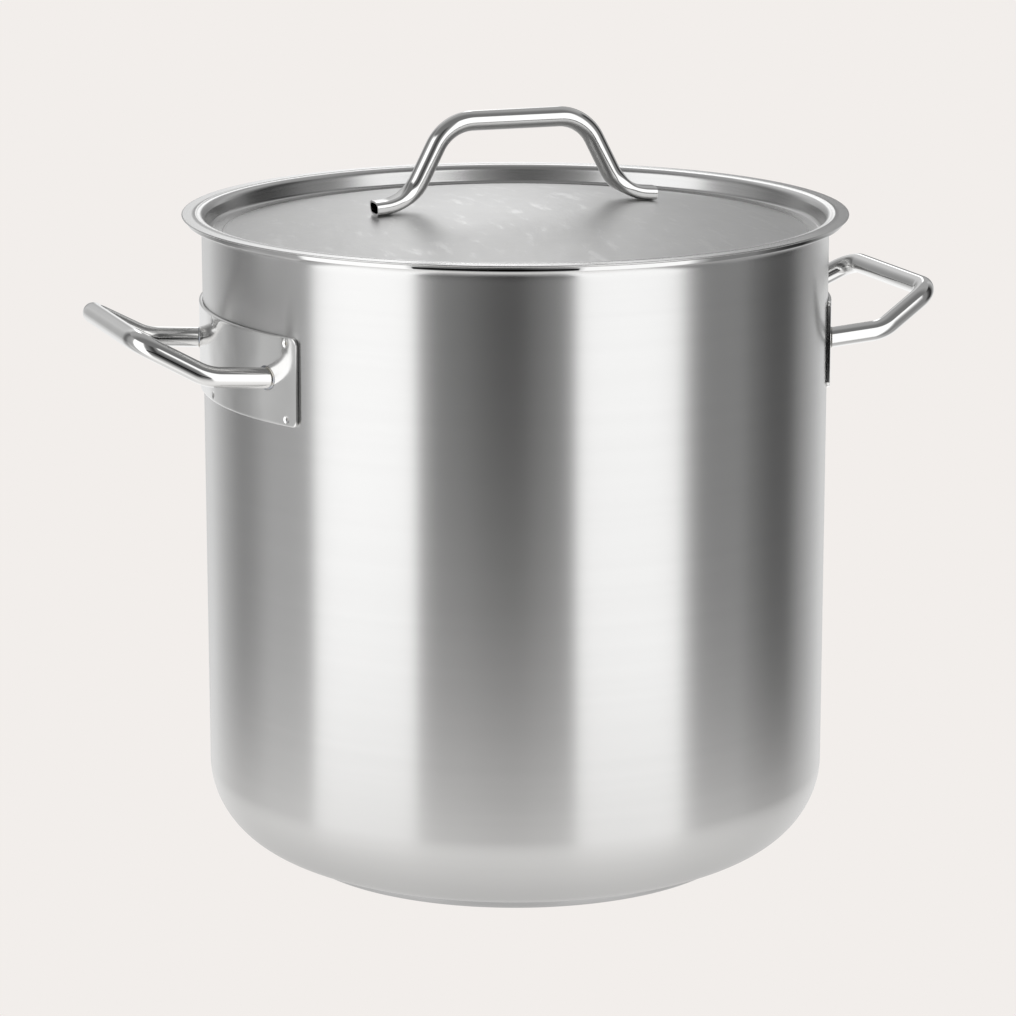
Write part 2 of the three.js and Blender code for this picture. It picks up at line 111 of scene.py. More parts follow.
def grid_faces(rows, columns, close_rows=False, close_columns=False, first=0):
    """Squares of a grid whose point (i, j) has number first + i * columns + j."""
    i = np.arange(rows if close_rows else rows - 1)
    j = np.arange(columns if close_columns else columns - 1)
    i, j = np.meshgrid(i, j, indexing="ij")
    below, beside = (i + 1) % rows, (j + 1) % columns
    corners = [(i, j), (i, beside), (below, beside), (below, j)]
    return np.stack([first + a * columns + b for a, b in corners], axis=-1).reshape(-1, 4)


def piece(name, points, faces, material):
    """A smooth-shaded mesh object at the origin, with its place in its points."""
    mesh = bpy.data.meshes.new(name)
    mesh.from_pydata(points.reshape(-1, 3).tolist(), [], [list(f) for f in faces])
    mesh.materials.append(material)
    mesh.shade_smooth()
    mesh.set_sharp_from_angle(angle=SHARP)
    mesh.validate()
    made = bpy.data.objects.new(name, mesh)
    bpy.context.scene.collection.objects.link(made)
    print(f"{name}: {len(mesh.vertices)} points, {len(mesh.polygons)} faces")
    return made


def spun(profile, steps):
    """Points and faces of a profile that starts and ends on the axis, spun about Z.

    A point at radius r and height z goes to (r cos a, r sin a, z) for each of the angles a. The
    first and the last point become single poles, joined to the next ring by triangles."""
    a = np.linspace(0, 2 * pi, steps, endpoint=False)
    ring = profile[1:-1]
    points = np.empty((len(ring), steps, 3))
    points[..., 0] = ring[:, :1] * np.cos(a)
    points[..., 1] = ring[:, :1] * np.sin(a)
    points[..., 2] = ring[:, 1:]
    poles = np.array([[0, 0, profile[0, 1]], [0, 0, profile[-1, 1]]])
    count = len(ring) * steps
    here, beside = np.arange(steps), (np.arange(steps) + 1) % steps
    last = count - steps
    start_fan = np.stack([np.full(steps, count), beside, here], axis=1)
    end_fan = np.stack([np.full(steps, count + 1), last + here, last + beside], axis=1)
    faces = [*grid_faces(len(ring), steps, close_columns=True).tolist()]
    faces += [*start_fan.tolist(), *end_fan.tolist()]
    return np.concatenate([points.reshape(-1, 3), poles]), faces


# %% [markdown]
# ## Writing shader maths as Python
# A shader graph for `1 - mask * 0.3` is three nodes and a tangle of lines. Wrapping a socket in
# a small class whose operators add those nodes lets a finish be read as a formula. Any other
# node comes from `Graph.node`: its type, its settings, and the values or links of its inputs.

# %% Shader helpers
class Signal:
    """One output of a node. Arithmetic on it adds Math nodes and gives a new Signal."""

    def __init__(self, graph, socket):
        self.graph = graph
        self.socket = socket

    def math(self, operation, *values):
        return self.graph.node("ShaderNodeMath", {"operation": operation}, dict(enumerate(values)))

    def __add__(self, other):
        return self.math("ADD", self, other)

    def __radd__(self, other):
        return self.math("ADD", other, self)

    def __sub__(self, other):
        return self.math("SUBTRACT", self, other)

    def __rsub__(self, other):
        return self.math("SUBTRACT", other, self)

    def __mul__(self, other):
        return self.math("MULTIPLY", self, other)

    def __rmul__(self, other):
        return self.math("MULTIPLY", other, self)

    def __truediv__(self, other):
        return self.math("DIVIDE", self, other)

    def __rtruediv__(self, other):
        return self.math("DIVIDE", other, self)

    def __pow__(self, other):
        return self.math("POWER", self, other)

    def __abs__(self):
        return self.math("ABSOLUTE", self)

    def step(self, low, high):
        """0 below low, 1 above high and a smooth rise between; low may be the larger."""
        sockets = {"Value": self, "From Min": low, "From Max": high}
        return self.graph.node("ShaderNodeMapRange", {"interpolation_type": "SMOOTHSTEP"}, sockets)


class Graph:
    """The nodes of a material or of the world, starting with none."""

    def __init__(self, owner):
        owner.use_nodes = True
        self.tree = owner.node_tree
        self.tree.nodes.clear()

    def feed(self, socket, value):
        """Links a Signal to a socket, or sets a plain value on it."""
        if isinstance(value, Signal):
            self.tree.links.new(value.socket, socket)
        else:
            socket.default_value = value

    def node(self, kind, settings=None, sockets=None, output=0):
        """Adds a node, gives it its settings, feeds its inputs, and returns one of its outputs.

        The setting "stops" is a colour ramp's list of places from 0 to 1, each with its grey."""
        made = self.tree.nodes.new(kind)
        for name, value in (settings or {}).items():
            if name == "stops":
                self.set_stops(made.color_ramp.elements, value)
            else:
                setattr(made, name, value)
        for name, value in (sockets or {}).items():
            self.feed(made.inputs[name], value)
        return Signal(self, made.outputs[output]) if made.outputs else None

    def set_stops(self, elements, stops):
        """Fills a new ramp, which starts with two stops."""
        for k, (place, grey) in enumerate(stops):
            stop = elements[k] if k < 2 else elements.new(place)
            stop.position = place
            stop.color = (grey, grey, grey, 1)

    def place(self, scale=(1, 1, 1), centre=(0, 0, 0)):
        """Object coordinates about a centre, stretched by a factor along each axis."""
        at = self.node("ShaderNodeTexCoord", output="Object")
        move = [-c * s for c, s in zip(centre, scale)]
        sockets = {"Vector": at, "Location": move, "Scale": scale}
        return self.node("ShaderNodeMapping", None, sockets)

    def axes(self, centre=(0, 0, 0)):
        """The three Object coordinates about a centre, as numbers."""
        return self.apart(self.place(centre=centre))

    def apart(self, vector):
        """The three parts of a vector."""
        outputs = self.node("ShaderNodeSeparateXYZ", None, {"Vector": vector}).socket.node.outputs
        return [Signal(self, outputs[name]) for name in "XYZ"]

    def noise(self, vector, detail=3.0, roughness=0.55):
        """Fractal noise, from 0 to 1 about one half."""
        sockets = {"Vector": vector, "Scale": 1.0, "Detail": detail, "Roughness": roughness}
        return self.node("ShaderNodeTexNoise", None, sockets)

    def grey(self, value, tint=(1.0, 1.0, 1.0)):
        """A number as a colour: grey, times a tint."""
        sockets = {"Red": value * tint[0], "Green": value * tint[1], "Blue": value * tint[2]}
        return self.node("ShaderNodeCombineColor", None, sockets)


class Finish(Graph):
    """A material being made: a Principled shader and the nodes that feed it."""

    def __init__(self, name, **constants):
        self.material = bpy.data.materials.new(name)
        super().__init__(self.material)
        self.shader = self.tree.nodes.new("ShaderNodeBsdfPrincipled")
        output = self.tree.nodes.new("ShaderNodeOutputMaterial")
        self.tree.links.new(self.shader.outputs["BSDF"], output.inputs["Surface"])
        self.feed_shader(constants)

    def feed_shader(self, inputs):
        """Feeds the shader's inputs, which are named with an underscore for each space."""
        for socket, value in inputs.items():
            self.feed(self.shader.inputs[socket.replace("_", " ")], value)

    def use(self, **inputs):
        """Feeds the shader what the formulas made, and gives the finished material back."""
        self.feed_shader(inputs)
        print(f"{self.material.name}: {len(self.tree.nodes)} nodes")
        return self.material

    def bump(self, height, distance):
        """Turns a height into a normal. A height of 1 stands out by the distance, in metres."""
        sockets = {"Height": height, "Distance": distance, "Strength": 1.0}
        return self.node("ShaderNodeBump", None, sockets)


# %% [markdown]
# ## The pot wall: steel brushed round and round
# The wall is finished by spinning the pot against an abrasive band, which leaves fine lines
# that run round it. Such lines spread a reflection across them, so every light becomes an
# upright streak with crisp sides. The Principled shader does that with Anisotropic, and an
# Anisotropic Rotation of a quarter turn sets the streak across the lines. With no Tangent
# link Blender takes the direction round the Z axis, which is just the way the band ran.
#
# The lines themselves are noise squeezed along Z and stretched round the pot. They are so fine
# that they only shift the tone a little: the streak already does the work of their slopes. The
# roughness is even, because any patch of another roughness would show as a stain. Near the rim
# the steel is rolled rather than brushed, so it is smoother there.

# %% Brushed wall
LINES_PER_METRE = 2600
WALL_GREY = 0.66
WALL_ROUGH = 0.27
STEEL_TINT = (1.0, 0.998, 0.992)
RIM_ROLLED = (12 * MM, 4 * MM)  # below the rim's top: where the rolled steel starts, and is full


def satin_wall():
    """Brushed steel for the pot's shell, smoother on the rolled rim."""
    f = Finish("satin_steel_wall", Metallic=1.0, Anisotropic=0.96, Anisotropic_Rotation=0.25)
    _, _, z = f.axes()
    lines = f.noise(f.place((5, 5, LINES_PER_METRE)), detail=4.0, roughness=0.6)
    bands = f.noise(f.place((1.5, 1.5, 160)), detail=3.0)
    clouds = f.noise(f.place((9, 9, 9)), detail=4.0)
    rim = z.step(rim_top - RIM_ROLLED[0], rim_top - RIM_ROLLED[1])
    hem = z.step(rim_top - RIM_THICKNESS - 0.5 * MM, rim_top - RIM_THICKNESS)
    shade = WALL_GREY + (lines - 0.5) * 0.01 + (bands - 0.5) * 0.03 + (clouds - 0.5) * 0.03
    rough = (1 - rim * 0.4) * (1 - hem * 0.8) * WALL_ROUGH
    return f.use(Base_Color=f.grey(shade, STEEL_TINT), Roughness=rough)


WALL_FINISH = satin_wall()

# %% [markdown]
# ## The pot shell
# The shell is one drawn sheet: a flat floor, a wide round corner, a straight wall, and a rim that
# flares out and ends in a folded hem. The outline goes up the outside, round the hem, and down
# the inside back to the axis, so the steel has its real thickness. Under the hem a narrow
# groove shows where the sheet was folded back on itself.

# %% Shell outline
AROUND = 320
HEM_ROUND = 0.7 * MM
HEM_GROOVE = np.array([(0.5, 0.05), (0.8, 0.85), (1.1, 0.05), (1.5, 0)]) * MM  # out, up


def shell_outline():
    """Outside wall, flare, hem and inside wall, from the axis underneath to the axis inside.

    The outside of the flare is an arc that meets the flat underside of the hem where its height
    above its centre, radius * sin a, is the flare's radius less the hem's thickness."""
    inner = pot_radius - POT_WALL
    corner = (pot_radius - POT_CORNER, shell_bottom + POT_CORNER)
    flare = (inner + RIM_FLARE, rim_top - RIM_FLARE)
    outside = RIM_FLARE - POT_WALL
    lift = asin((RIM_FLARE - RIM_THICKNESS) / outside)
    hem = rim_radius - HEM_ROUND
    fold = flare[0] - outside * cos(lift)
    hem_under = rim_top - RIM_THICKNESS
    return join(
        run((0, shell_bottom), (corner[0], shell_bottom), 12)[:-1],
        arc(corner, POT_CORNER, -pi / 2, 0, 40),
        run((pot_radius, corner[1]), (pot_radius, flare[1]), 14)[1:-1],
        arc(flare, outside, pi, pi - lift, 10),
        HEM_GROOVE + [fold, hem_under],
        arc((hem, hem_under + HEM_ROUND), HEM_ROUND, -pi / 2, 0, 8),
        arc((hem, rim_top - HEM_ROUND), HEM_ROUND, 0, pi / 2, 8),
        run((hem, rim_top), (flare[0], rim_top), 3)[1:-1],
        arc(flare, RIM_FLARE, pi / 2, pi, 18),
        run((inner, flare[1]), (inner, corner[1]), 14)[1:-1],
        arc(corner, POT_CORNER - POT_WALL, 0, -pi / 2, 40),
        run((corner[0], shell_bottom + POT_WALL), (0, shell_bottom + POT_WALL), 12)[1:],
    )


shell = piece("shell", *spun(shell_outline(), AROUND), WALL_FINISH)
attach(shell, "pot")
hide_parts("pot_shell")

# %% [markdown]
# ## The sandwich base
# Under the shell an aluminium disc spreads the heat, wrapped in a shallow steel cup. Only the
# cup shows. Its edge is rolled, a shallow ring is stamped into the underside, and all of it is
# turned like a record, which noise that depends on the radius alone gives.

# %% Turned base finish
TURNED_PER_METRE = 1400


def turned_base():
    """Steel turned on a lathe: rings on the flat underside, fine lines on the edge."""
    f = Finish("base_steel_turned", Metallic=1.0, Anisotropic=0.8, Anisotropic_Rotation=0.25)
    x, y, z = f.axes()
    radius = (x * x + y * y) ** 0.5
    across = {"X": radius * TURNED_PER_METRE, "Y": z * TURNED_PER_METRE}
    line = f.node("ShaderNodeCombineXYZ", None, across)
    rings = f.noise(line, detail=2.0)
    stains = f.noise(f.place((14, 14, 14)), detail=5.0)
    shade = 0.6 + (rings - 0.5) * 0.10 + (stains - 0.5) * 0.06
    rough = 0.3 + (rings - 0.5) * 0.10 + (stains - 0.5) * 0.10
    normal = f.bump(rings, 0.01 * MM)
    return f.use(Base_Color=f.grey(shade), Roughness=rough, Normal=normal)


# %% Base cup
BASE_WALL = 0.8 * MM
BASE_ROLL = 1.6 * MM
BASE_LIP = 0.3 * MM
STAMP_RADIUS = 0.62 * base_radius
STAMP_HALF_WIDTH = 1.2 * MM
STAMP_FLAT = 0.35  # depth of the stamped ring, as a share of its half width
STAMP_CLEAR = 3 * MM


def base_outline():
    """A shallow cup: underside with a stamped ring, rolled edge, and the wall's two sides."""
    inside = base_radius - BASE_WALL
    rolled = base_radius - BASE_ROLL
    corner = inside - BASE_ROLL
    return join(
        run((0, 0), (STAMP_RADIUS - STAMP_CLEAR, 0), 8),
        arc((STAMP_RADIUS, 0), STAMP_HALF_WIDTH, pi, 0, 9) * [1, STAMP_FLAT],
        run((STAMP_RADIUS + STAMP_CLEAR, 0), (rolled, 0), 6),
        arc((rolled, BASE_ROLL), BASE_ROLL, -pi / 2, 0, 9),
        run((base_radius, BASE_ROLL), (base_radius, base_top - BASE_LIP), 4)[1:],
        [(base_radius - BASE_LIP, base_top), (inside, base_top)],
        arc((corner, BASE_WALL + BASE_ROLL), BASE_ROLL, 0, -pi / 2, 7),
        run((corner, BASE_WALL), (0, BASE_WALL), 6)[1:],
    )


base_cup = piece("base_cup", *spun(base_outline(), 256), turned_base())
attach(base_cup, "pot")
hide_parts("base_cap")

# %% [markdown]
# ## The core inside the base
# The aluminium disc is sealed in and never shows, so the engineering model's own solid is kept
# as it is and only gets a finish of its own.

# %% Aluminium core
def cast_aluminium():
    """Matt aluminium with a faint grain, for the disc that the cup hides."""
    f = Finish("core_aluminium_matt", Metallic=1.0)
    grain = f.noise(f.place((400, 400, 400)), detail=3.0)
    return f.use(Base_Color=f.grey(0.74 + grain * 0.08), Roughness=0.42 + grain * 0.15)


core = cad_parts["base_core"]
core.data.materials[0] = cast_aluminium()

# %% [markdown]
# ## The lid's finish
# The lid's panel is rubbed by hand, with short strokes mostly one way, and has been handled
# since. So it is a soft satin with shallow dents and a few pale scuffs, while the flange and
# the wall, which the tool rolled, are smoother. Each is a noise: a thin one for the strokes,
# one of finger-sized blots for the dents, one cut off at a threshold for the scuffs, rings for
# the rolled steel, and a broad cloud for wear. A mask, `panel`, says where the panel is.

# %% Rubbed lid finish
LID_GREY = 0.64
LID_ROUGH = 0.24
PANEL_ROUGH = 0.16  # what the rubbing adds
PANEL_EDGE = (187 * MM, 184 * MM)
ROLLED_PER_METRE = 1500


def rubbed_lid():
    """Satin steel with short strokes across the panel, and smoother steel on flange and wall."""
    f = Finish("satin_steel_lid", Metallic=1.0)
    x, y, _ = f.axes()
    radius = (x * x + y * y) ** 0.5
    panel = radius.step(*PANEL_EDGE)
    strokes = f.noise(f.place((60, 900, 60)), detail=4.0, roughness=0.65)
    dents = f.noise(f.place((62, 40, 60)), detail=3.0, roughness=0.6)
    scuffs = f.noise(f.place((110, 34, 60)), detail=4.0, roughness=0.7).step(0.54, 0.68) * panel
    across = f.node("ShaderNodeCombineXYZ", None, {"X": radius * ROLLED_PER_METRE})
    rings = f.noise(across, detail=2.0)
    clouds = f.noise(f.place((16, 16, 16)), detail=4.0)
    grain = strokes * panel + rings * (1 - panel)
    marks = (dents - 0.5) * panel
    shade = LID_GREY + (grain - 0.5) * 0.08 + (clouds - 0.5) * 0.05 + marks * 0.06
    shade = shade + scuffs * 0.03
    rough = LID_ROUGH + panel * PANEL_ROUGH - scuffs * 0.05
    rough = rough + (grain - 0.5) * 0.08 + (clouds - 0.5) * 0.06
    height = grain * 0.08 + marks + scuffs * 0.15
    normal = f.bump(height, 0.17 * MM)
    return f.use(Base_Color=f.grey(shade, STEEL_TINT), Roughness=rough, Normal=normal)


LID_FINISH = rubbed_lid()

# %% [markdown]
# ## The lid
# The lid is one pressed sheet. From the middle out it is a low dome, a flat ring at the foot of
# the dome, a wall that drops inside the rim, a shoulder, and a flange that lies on the
# rim. The upper side is drawn first. The lower side is the same line moved by the sheet's
# thickness along its normals, so the sheet is equally thick all over.

# %% Lid outline
LID_SHEET = 1.0 * MM
LID_SIDE_PLAY = 0.8 * MM
LID_DEPTH = 12 * MM
LID_TAPER = 0.2  # inward lean of the wall, as run over drop
LID_LEAN = atan(LID_TAPER)
LID_SHOULDER = 5 * MM
LID_FOOT = 3 * MM
LID_RING = 6 * MM
LID_RISE = 18 * MM
LID_CREASE = (1.5 * MM, 0.8 * MM)  # before and past the foot of the dome, where it turns flat
RIDGE_RISE = 0.45 * MM
RIDGE_IN = 1.6 * MM
RIDGE_WIDTH = 1.1 * MM
FLANGE_END = 0.8 * MM

trough_z = lid_crown - LID_RISE
flange_z = trough_z + LID_DEPTH
lid_wall = pot_radius - POT_WALL - LID_SIDE_PLAY - LID_SHEET
shoulder = (lid_wall + LID_SHOULDER, flange_z - LID_SHOULDER)
wall_top = (shoulder[0] - LID_SHOULDER * cos(LID_LEAN), shoulder[1] + LID_SHOULDER * sin(LID_LEAN))
foot_z = trough_z + LID_FOOT
wall_drop = wall_top[1] - (foot_z - LID_FOOT * sin(LID_LEAN))
foot = (wall_top[0] - wall_drop * LID_TAPER - LID_FOOT * cos(LID_LEAN), foot_z)
dome_radius = foot[0] - LID_RING


def dome_height(radius):
    """The dome's upper side: the crown less a share of the rise that grows with radius squared."""
    return trough_z + LID_RISE * (1 - (radius / dome_radius) ** 2)


def lid_upper():
    """The upper side from the crown to the flange's edge, with a faint ridge on the flange.

    The ridge stands up by its rise * exp(-t^2), where t is the distance from its crest over
    its width."""
    r = np.linspace(0, dome_radius - LID_CREASE[0], 48)
    dome = np.stack([r, dome_height(r)], axis=1)
    crease = np.array([(dome_radius + LID_CREASE[1], trough_z)])
    ridge_r = np.linspace(shoulder[0], lid_radius - FLANGE_END, 30)
    bulge = RIDGE_RISE * np.exp(-(((ridge_r - shoulder[0] - RIDGE_IN) / RIDGE_WIDTH) ** 2))
    ridge = np.stack([ridge_r, flange_z + bulge], axis=1)
    return join(
        dome,
        crease,
        arc(foot, LID_FOOT, -pi / 2, -LID_LEAN, 12),
        arc(shoulder, LID_SHOULDER, pi - LID_LEAN, pi / 2, 16)[:-1],
        ridge,
    )


def moved_down(line, distance):
    """Each point goes by the distance along the line's normal there, to its right-hand side."""
    along = np.gradient(line, axis=0)
    along /= np.linalg.norm(along, axis=1, keepdims=True)
    moved = line + distance * np.stack([along[:, 1], -along[:, 0]], axis=1)
    moved[0, 0] = 0
    return moved


def lid_outline():
    """Upper side, the flange's rounded edge, and the lower side back to the axis."""
    upper = lid_upper()
    half = LID_SHEET / 2
    edge = arc((lid_radius - half, flange_z - half), half, pi / 2, -pi / 2, 9)
    return join(upper, edge, moved_down(upper, LID_SHEET)[::-1])


lid = piece("lid", *spun(lid_outline()[::-1], AROUND), LID_FINISH)
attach(lid, "lid")
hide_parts("lid_pan")

# %% [markdown]
# ## Polished steel
# Handles and plates are polished to a mirror after bending and welding. A perfect mirror looks
# like glass, though, so two things break it: hair lines from the polishing wheel, and a slow
# ripple, which makes reflected edges wander. A flat strip of sheet ripples more than a tube
# does, so ripple and blur are given for each. The plate's tone is set paler than the tube's,
# which paints brighter reflections onto the same steel.

# %% Polished finish
POLISH_TINT = (1.0, 0.998, 0.99)


def polished(name, ripple, tone, blur):
    """Mirror steel of the given tone and roughness, with hair lines and a slow ripple."""
    f = Finish(name, Metallic=1.0)
    hair = f.noise(f.place((900, 900, 160)), detail=3.0)
    smudge = f.noise(f.place((28, 28, 28)), detail=4.0)
    wave = f.noise(f.place((34, 34, 34)), detail=1.0)
    shade = tone + (smudge - 0.5) * 0.04
    rough = blur + (smudge - 0.5) * 0.06 + (hair - 0.5) * 0.03
    normal = f.bump(wave + hair * 0.004, ripple)
    return f.use(Base_Color=f.grey(shade, POLISH_TINT), Roughness=rough, Normal=normal)


TUBE_FINISH = polished("polished_steel_tube", 0.10 * MM, 0.74, 0.075)
# the plate's tone of 0.9, paler than the tube's 0.74, paints brighter reflections on the same
# polished steel
PLATE_FINISH_PAINTED_BRIGHT = polished("polished_steel_plate_painted_bright", 0.5 * MM, 0.9, 0.12)

# %% [markdown]
# ## A bent tube
# A handle is a tube with round bends between straight runs. Its centre line comes first: each
# corner is cut back to the two points where an arc of the bend's radius touches the runs. The
# tube is then a ring carried along that line. Two directions go with it, both square to the
# line. They are made by turning the first pair just as the line turns, so the ring never twists.

# %% Centre line and carried ring
def bent_line(corners, radii, steps):
    """Points and directions of straight runs joined by arcs.

    An arc that turns by angle t starts radius * tan(t / 2) before its corner. Its points are
    start + radius * (sin a * inward + (1 - cos a) * side) as a goes from 0 to t."""
    points, ways = [corners[0][None]], []
    for before, corner, after, radius in zip(corners, corners[1:], corners[2:], radii):
        inward = (corner - before) / np.linalg.norm(corner - before)
        outward = (after - corner) / np.linalg.norm(after - corner)
        turn = np.arccos(inward @ outward)
        side = outward - inward * cos(turn)
        side /= np.linalg.norm(side)
        a = np.linspace(0, turn, steps)[:, None]
        start = corner - inward * radius * np.tan(turn / 2)
        points.append(start + radius * (np.sin(a) * inward + (1 - np.cos(a)) * side))
        ways.append(np.cos(a) * inward + np.sin(a) * side)
    points.append(corners[-1][None])
    ways = [ways[0][:1], *ways, ways[-1][-1:]]
    return np.concatenate(points), np.concatenate(ways)


def refined(points, ways, longest):
    """The same line with more points on its straight runs, none further apart than longest."""
    gap = np.linalg.norm(np.diff(points, axis=0), axis=1)
    travelled = np.concatenate([[0], np.cumsum(gap)])
    extra = []
    for a, b in zip(travelled, travelled[1:]):
        extra.append(np.linspace(a, b, int(np.ceil((b - a) / longest)) + 1))
    at = np.unique(np.round(np.concatenate(extra), 9))
    line = np.stack([np.interp(at, travelled, points[:, k]) for k in range(3)], axis=1)
    way = np.stack([np.interp(at, travelled, ways[:, k]) for k in range(3)], axis=1)
    return line, way / np.linalg.norm(way, axis=1, keepdims=True), at


def carried_axes(ways, first):
    """Two directions square to the line at each point, turned along it without twisting.

    From one point to the next, the part of the old direction along the new way is taken out,
    and what is left is made one unit long."""
    sides = np.empty_like(ways)
    side = np.array(first, float)
    for k, way in enumerate(ways):
        side = side - way * (side @ way)
        side /= np.linalg.norm(side)
        sides[k] = side
    return sides, np.cross(ways, sides)


def hollow(outer, inner):
    """Faces and points of a tube from two grids: outside, end ring, inside, end ring."""
    sheet = np.concatenate([outer, inner[::-1]])
    return sheet, grid_faces(len(sheet), sheet.shape[1], close_rows=True, close_columns=True)


# %% [markdown]
# ## The side handles
# Each handle is a tube of 13 mm. Its two legs stand on the plate, bend up and inwards, and
# meet in a grip. The legs end on the curved plate, so the ends have to be cut to its curve:
# every line along the leg is followed until it meets the plate's cylinder. With the line as
# p + s * d, that is the larger root of a quadratic in s. The weld bead's foot follows the
# same curve, so `saddle` serves both.

# %% Leg ends on the curved plate
GAP = 0.3 * MM
TUBE_RADIUS = 6.5 * MM
TUBE_WALL = 1.2 * MM
LEG_HALF_SPAN = 71.5 * MM
LEG_REACH = 26 * MM
LEG_RISE = 2.8 * MM
GRIP_HALF_SPAN = 58.5 * MM
GRIP_REACH = 66 * MM
GRIP_RISE = 24.8 * MM
LEG_BEND = 30 * MM
GRIP_BEND = 17 * MM
LEG_START = 8 * MM  # how far out along the leg its straight run begins

plate_radius = plate_high.x
weld_radius = plate_radius + GAP
plate_z = (plate_low.z + plate_high.z) / 2
leg_root_x = sqrt(weld_radius**2 - LEG_HALF_SPAN**2)
leg_slope = LEG_RISE / (pot_radius + LEG_REACH - sqrt(plate_radius**2 - LEG_HALF_SPAN**2))


def leg_frame(side):
    """Root, direction, and two directions square to it, for the leg on the +Y or the -Y side."""
    root = np.array([leg_root_x, side * LEG_HALF_SPAN, plate_z])
    way = np.array([1, 0, leg_slope]) / hypot(1, leg_slope)
    across = np.array([0, side, 0.0])
    return root, way, across, np.cross(way, across)


def saddle(side, angle, distance, lift):
    """Where a line along the leg meets the cylinder that stands lift outside the plate.

    The line starts at p, a distance from the leg's axis in the direction of the angle. Its
    point p + s * d is on the cylinder where a * s^2 + 2 * b * s + c = 0."""
    root, way, across, up = leg_frame(side)
    angle, distance, lift = np.broadcast_arrays(angle, distance, lift)
    ring = np.cos(angle)[..., None] * across + np.sin(angle)[..., None] * up
    p = root + distance[..., None] * ring
    a = way[0] ** 2 + way[1] ** 2
    b = p[..., 0] * way[0] + p[..., 1] * way[1]
    c = p[..., 0] ** 2 + p[..., 1] ** 2 - (weld_radius + lift) ** 2
    s = (-b + np.sqrt(b * b - a * c)) / a
    return p + s[..., None] * way


# %% Side handle tube
TUBE_SIDES = 40


def turned_round(points):
    """The same shape on the other side of the pot: half a turn about Z."""
    return points * np.array([-1, -1, 1])


def loop_tube():
    """The +X handle: a ring carried along the bent line, its two ends set on the saddle.

    A point of the tube is the line's point + radius * (cos a * side + sin a * up)."""
    z = plate_z
    half = [
        (leg_root_x + LEG_START, LEG_HALF_SPAN, z + LEG_START * leg_slope),
        (pot_radius + LEG_REACH, LEG_HALF_SPAN, z + LEG_RISE),
        (pot_radius + GRIP_REACH, GRIP_HALF_SPAN, z + GRIP_RISE),
    ]
    first = [np.array([x, -y, z]) for x, y, z in half]
    corners = first + [np.array(p) for p in half[::-1]]
    line, ways = bent_line(corners, [LEG_BEND, GRIP_BEND, GRIP_BEND, LEG_BEND], 20)
    line, ways, _ = refined(line, ways, 6 * MM)
    sides, ups = carried_axes(ways, (0, -1, 0))
    angle = np.linspace(0, 2 * pi, TUBE_SIDES, endpoint=False)
    ring = np.cos(angle)[:, None] * sides[:, None] + np.sin(angle)[:, None] * ups[:, None]
    surfaces = []
    for radius in (TUBE_RADIUS, TUBE_RADIUS - TUBE_WALL):
        walls = line[:, None] + radius * ring
        start = saddle_ring(-1, ring[0], radius)
        end = saddle_ring(1, ring[-1], radius)
        surfaces.append(np.concatenate([start[None], walls, end[None]]))
    return hollow(*surfaces)


def saddle_ring(side, ring, radius):
    """The end of the tube on one leg: each of the ring's directions, taken to the plate."""
    _, _, across, up = leg_frame(side)
    angle = np.arctan2(ring @ up, ring @ across)
    return saddle(side, angle, radius, 0.0)


# %% [markdown]
# ## The welds on the legs
# Each leg is welded to the plate all round and then dressed, so little is left: a narrow ring
# with a hollow face, and a slight ripple where the weld was laid drop by drop. Its section runs
# up the tube, down the hollow face and back along the plate, and it is carried round the saddle.

# %% Weld finish and ring
STRAW = (0.44, 0.42, 0.38, 1)
BLUE = (0.36, 0.38, 0.42, 1)
MIX_COLOURS = (6, 7)  # where a Mix node keeps its two colour inputs


def weld_steel():
    """Dressed weld: duller than the steel round it, with a faint straw and blue tint."""
    f = Finish("weld_steel_dressed", Metallic=1.0)
    drops = f.noise(f.place((700, 700, 700)), detail=3.0)
    heat = f.noise(f.place((120, 120, 120)), detail=2.0)
    first, second = MIX_COLOURS
    sockets = {"Factor": heat.step(0.42, 0.62), first: STRAW, second: BLUE}
    tint = f.node("ShaderNodeMix", {"data_type": "RGBA"}, sockets, output=2)
    return f.use(Base_Color=tint, Roughness=0.22 + drops * 0.12, Normal=f.bump(drops, 0.03 * MM))


WELD_FINISH = weld_steel()
WELD_WIDTH = 1.1 * MM
WELD_HEIGHT = 1.1 * MM
WELD_INTO_TUBE = 0.15 * MM
WELD_INTO_PLATE = 0.2 * MM
WELD_DROPS = 34
WELD_RIPPLE = 0.07


def weld_ring(side):
    """A closed ring: distance from the leg and lift above the plate go round a hollow section."""
    angle = np.linspace(0, 2 * pi, 120, endpoint=False)[:, None]
    t = np.linspace(0, pi / 2, 8)
    face_out = WELD_WIDTH * (1 - np.sin(t))
    face_up = WELD_HEIGHT * (1 - np.cos(t))
    out = np.concatenate([face_out, [-WELD_INTO_TUBE, -WELD_INTO_TUBE]])
    up = np.concatenate([face_up, [WELD_HEIGHT * 0.8, 0.0]])
    ripple = 1 + WELD_RIPPLE * np.sin(WELD_DROPS * angle)
    distance = TUBE_RADIUS + np.where(out > 0, out * ripple, out)
    points = saddle(side, angle, distance, up * ripple - WELD_INTO_PLATE)[::-1]
    return points, grid_faces(*points.shape[:2], close_rows=True, close_columns=True)


# %% [markdown]
# ## The plates
# A plate is a strip of sheet bent round the pot, with rounded corners and a soft edge. It is a
# grid over the strip's length and height. Each column is as tall as the corner's arc allows,
# and the grid lies closer together near the spot welds, where the sheet is pressed in a little
# by the welding tips. The last rows and columns turn the edge with a small radius.

# %% Plate surface
PLATE_HALF_LENGTH = 100 * MM
PLATE_CORNER = 4 * MM
PLATE_EDGE = 0.8 * MM
SPOT_END = 8.5 * MM
SPOT_EDGE = 4.2 * MM
SPOT_REACH = 2.6 * MM
SPOT_DEPTH = 0.45 * MM

